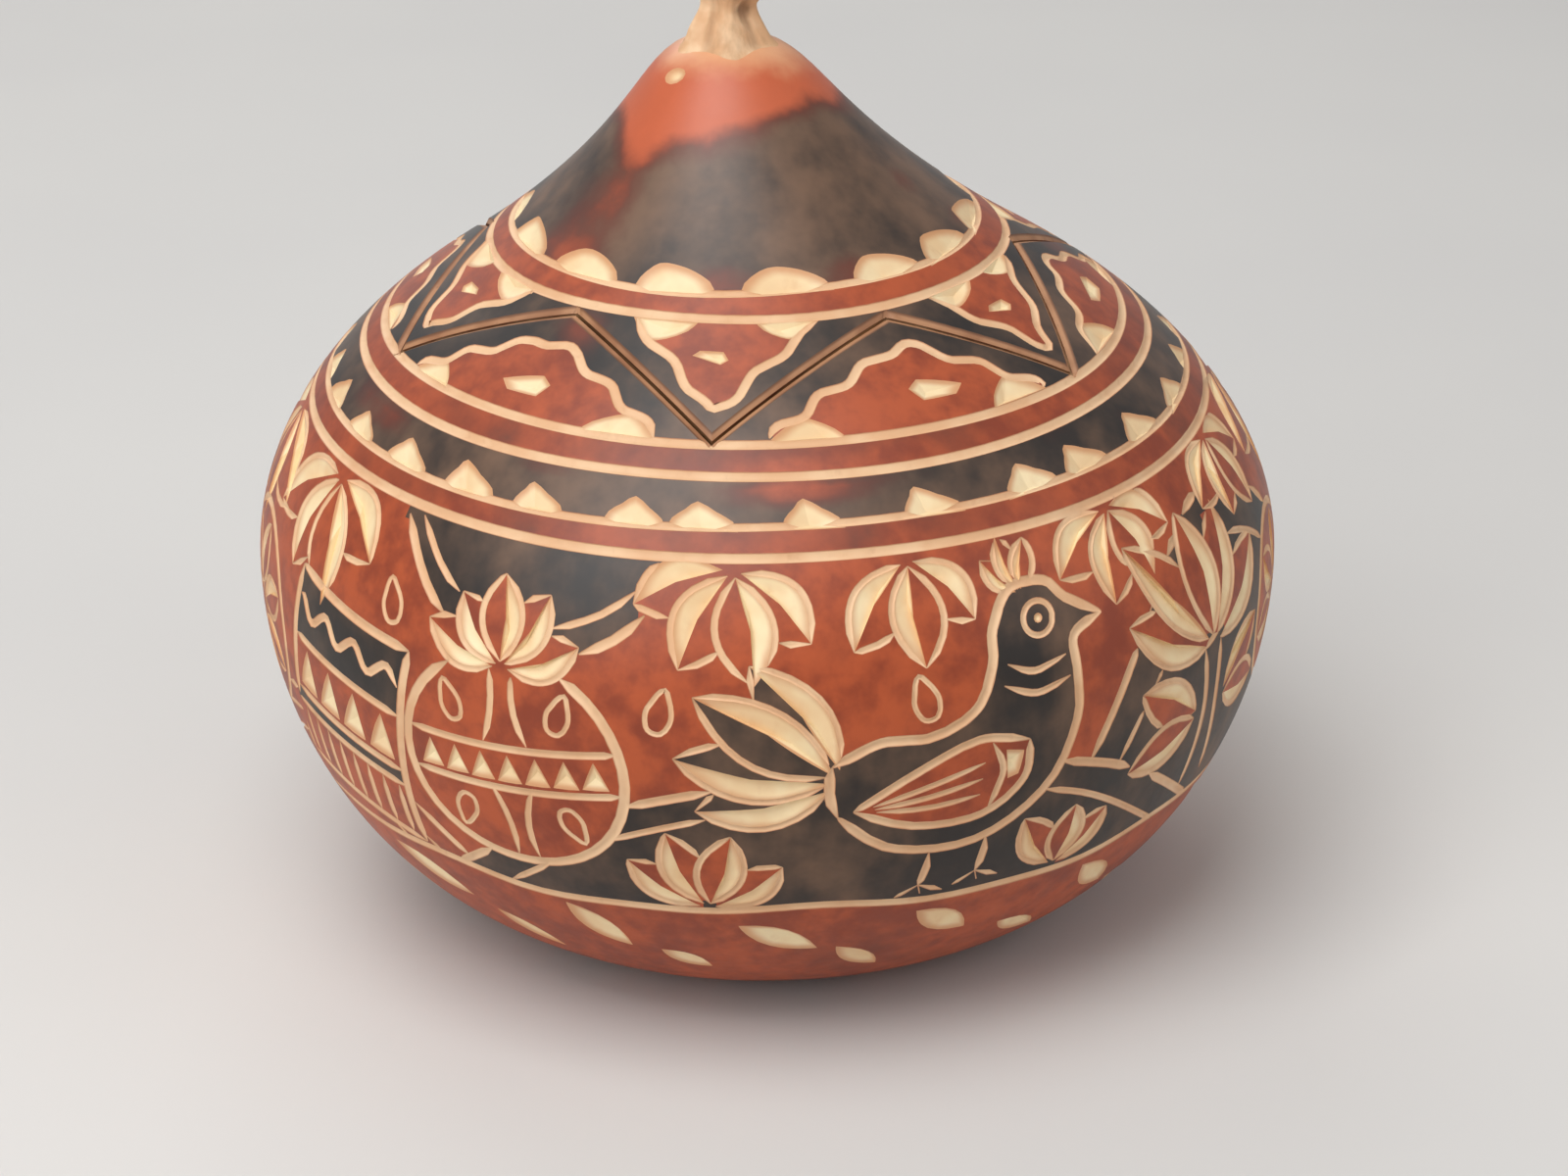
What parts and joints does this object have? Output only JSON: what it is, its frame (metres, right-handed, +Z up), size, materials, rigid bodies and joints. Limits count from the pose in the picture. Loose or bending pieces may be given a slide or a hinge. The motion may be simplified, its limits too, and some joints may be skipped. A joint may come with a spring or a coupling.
{
  "type": "lidded gourd jar",
  "caption": "Round hollow gourd jar that stands on a flat base, with a zigzag-sawn lid that lifts straight off by its dry stem to open the bowl.",
  "frame": {"origin": "centre of the flat base, on the surface that the jar stands on and on the gourd's axis", "axes": "+Z up along the gourd's axis and the way the lid lifts; -Y is the front that the picture shows; +X is to the right of that front"},
  "size_m": [0.11, 0.11, 0.1055],
  "materials": {
    "dyed_bowl_rind": "dyed red-brown and scorched black, carved, waxed to a soft sheen",
    "dyed_lid_rind": "scorched black with an orange-red crown, carved, waxed to a soft sheen",
    "dry_stem": "bare, corky and matt"
  },
  "bodies": {
    "bowl": {"gourd_bowl": "dyed_bowl_rind"},
    "lid": {"gourd_lid": "dyed_lid_rind", "stem_stub": "dry_stem"}
  },
  "joints": [
    {"name": "lid_lift", "type": "slide", "parent": "bowl", "child": "lid", "axis": [0, 0, 1], "range_m": [0, 0.06]}
  ]
}
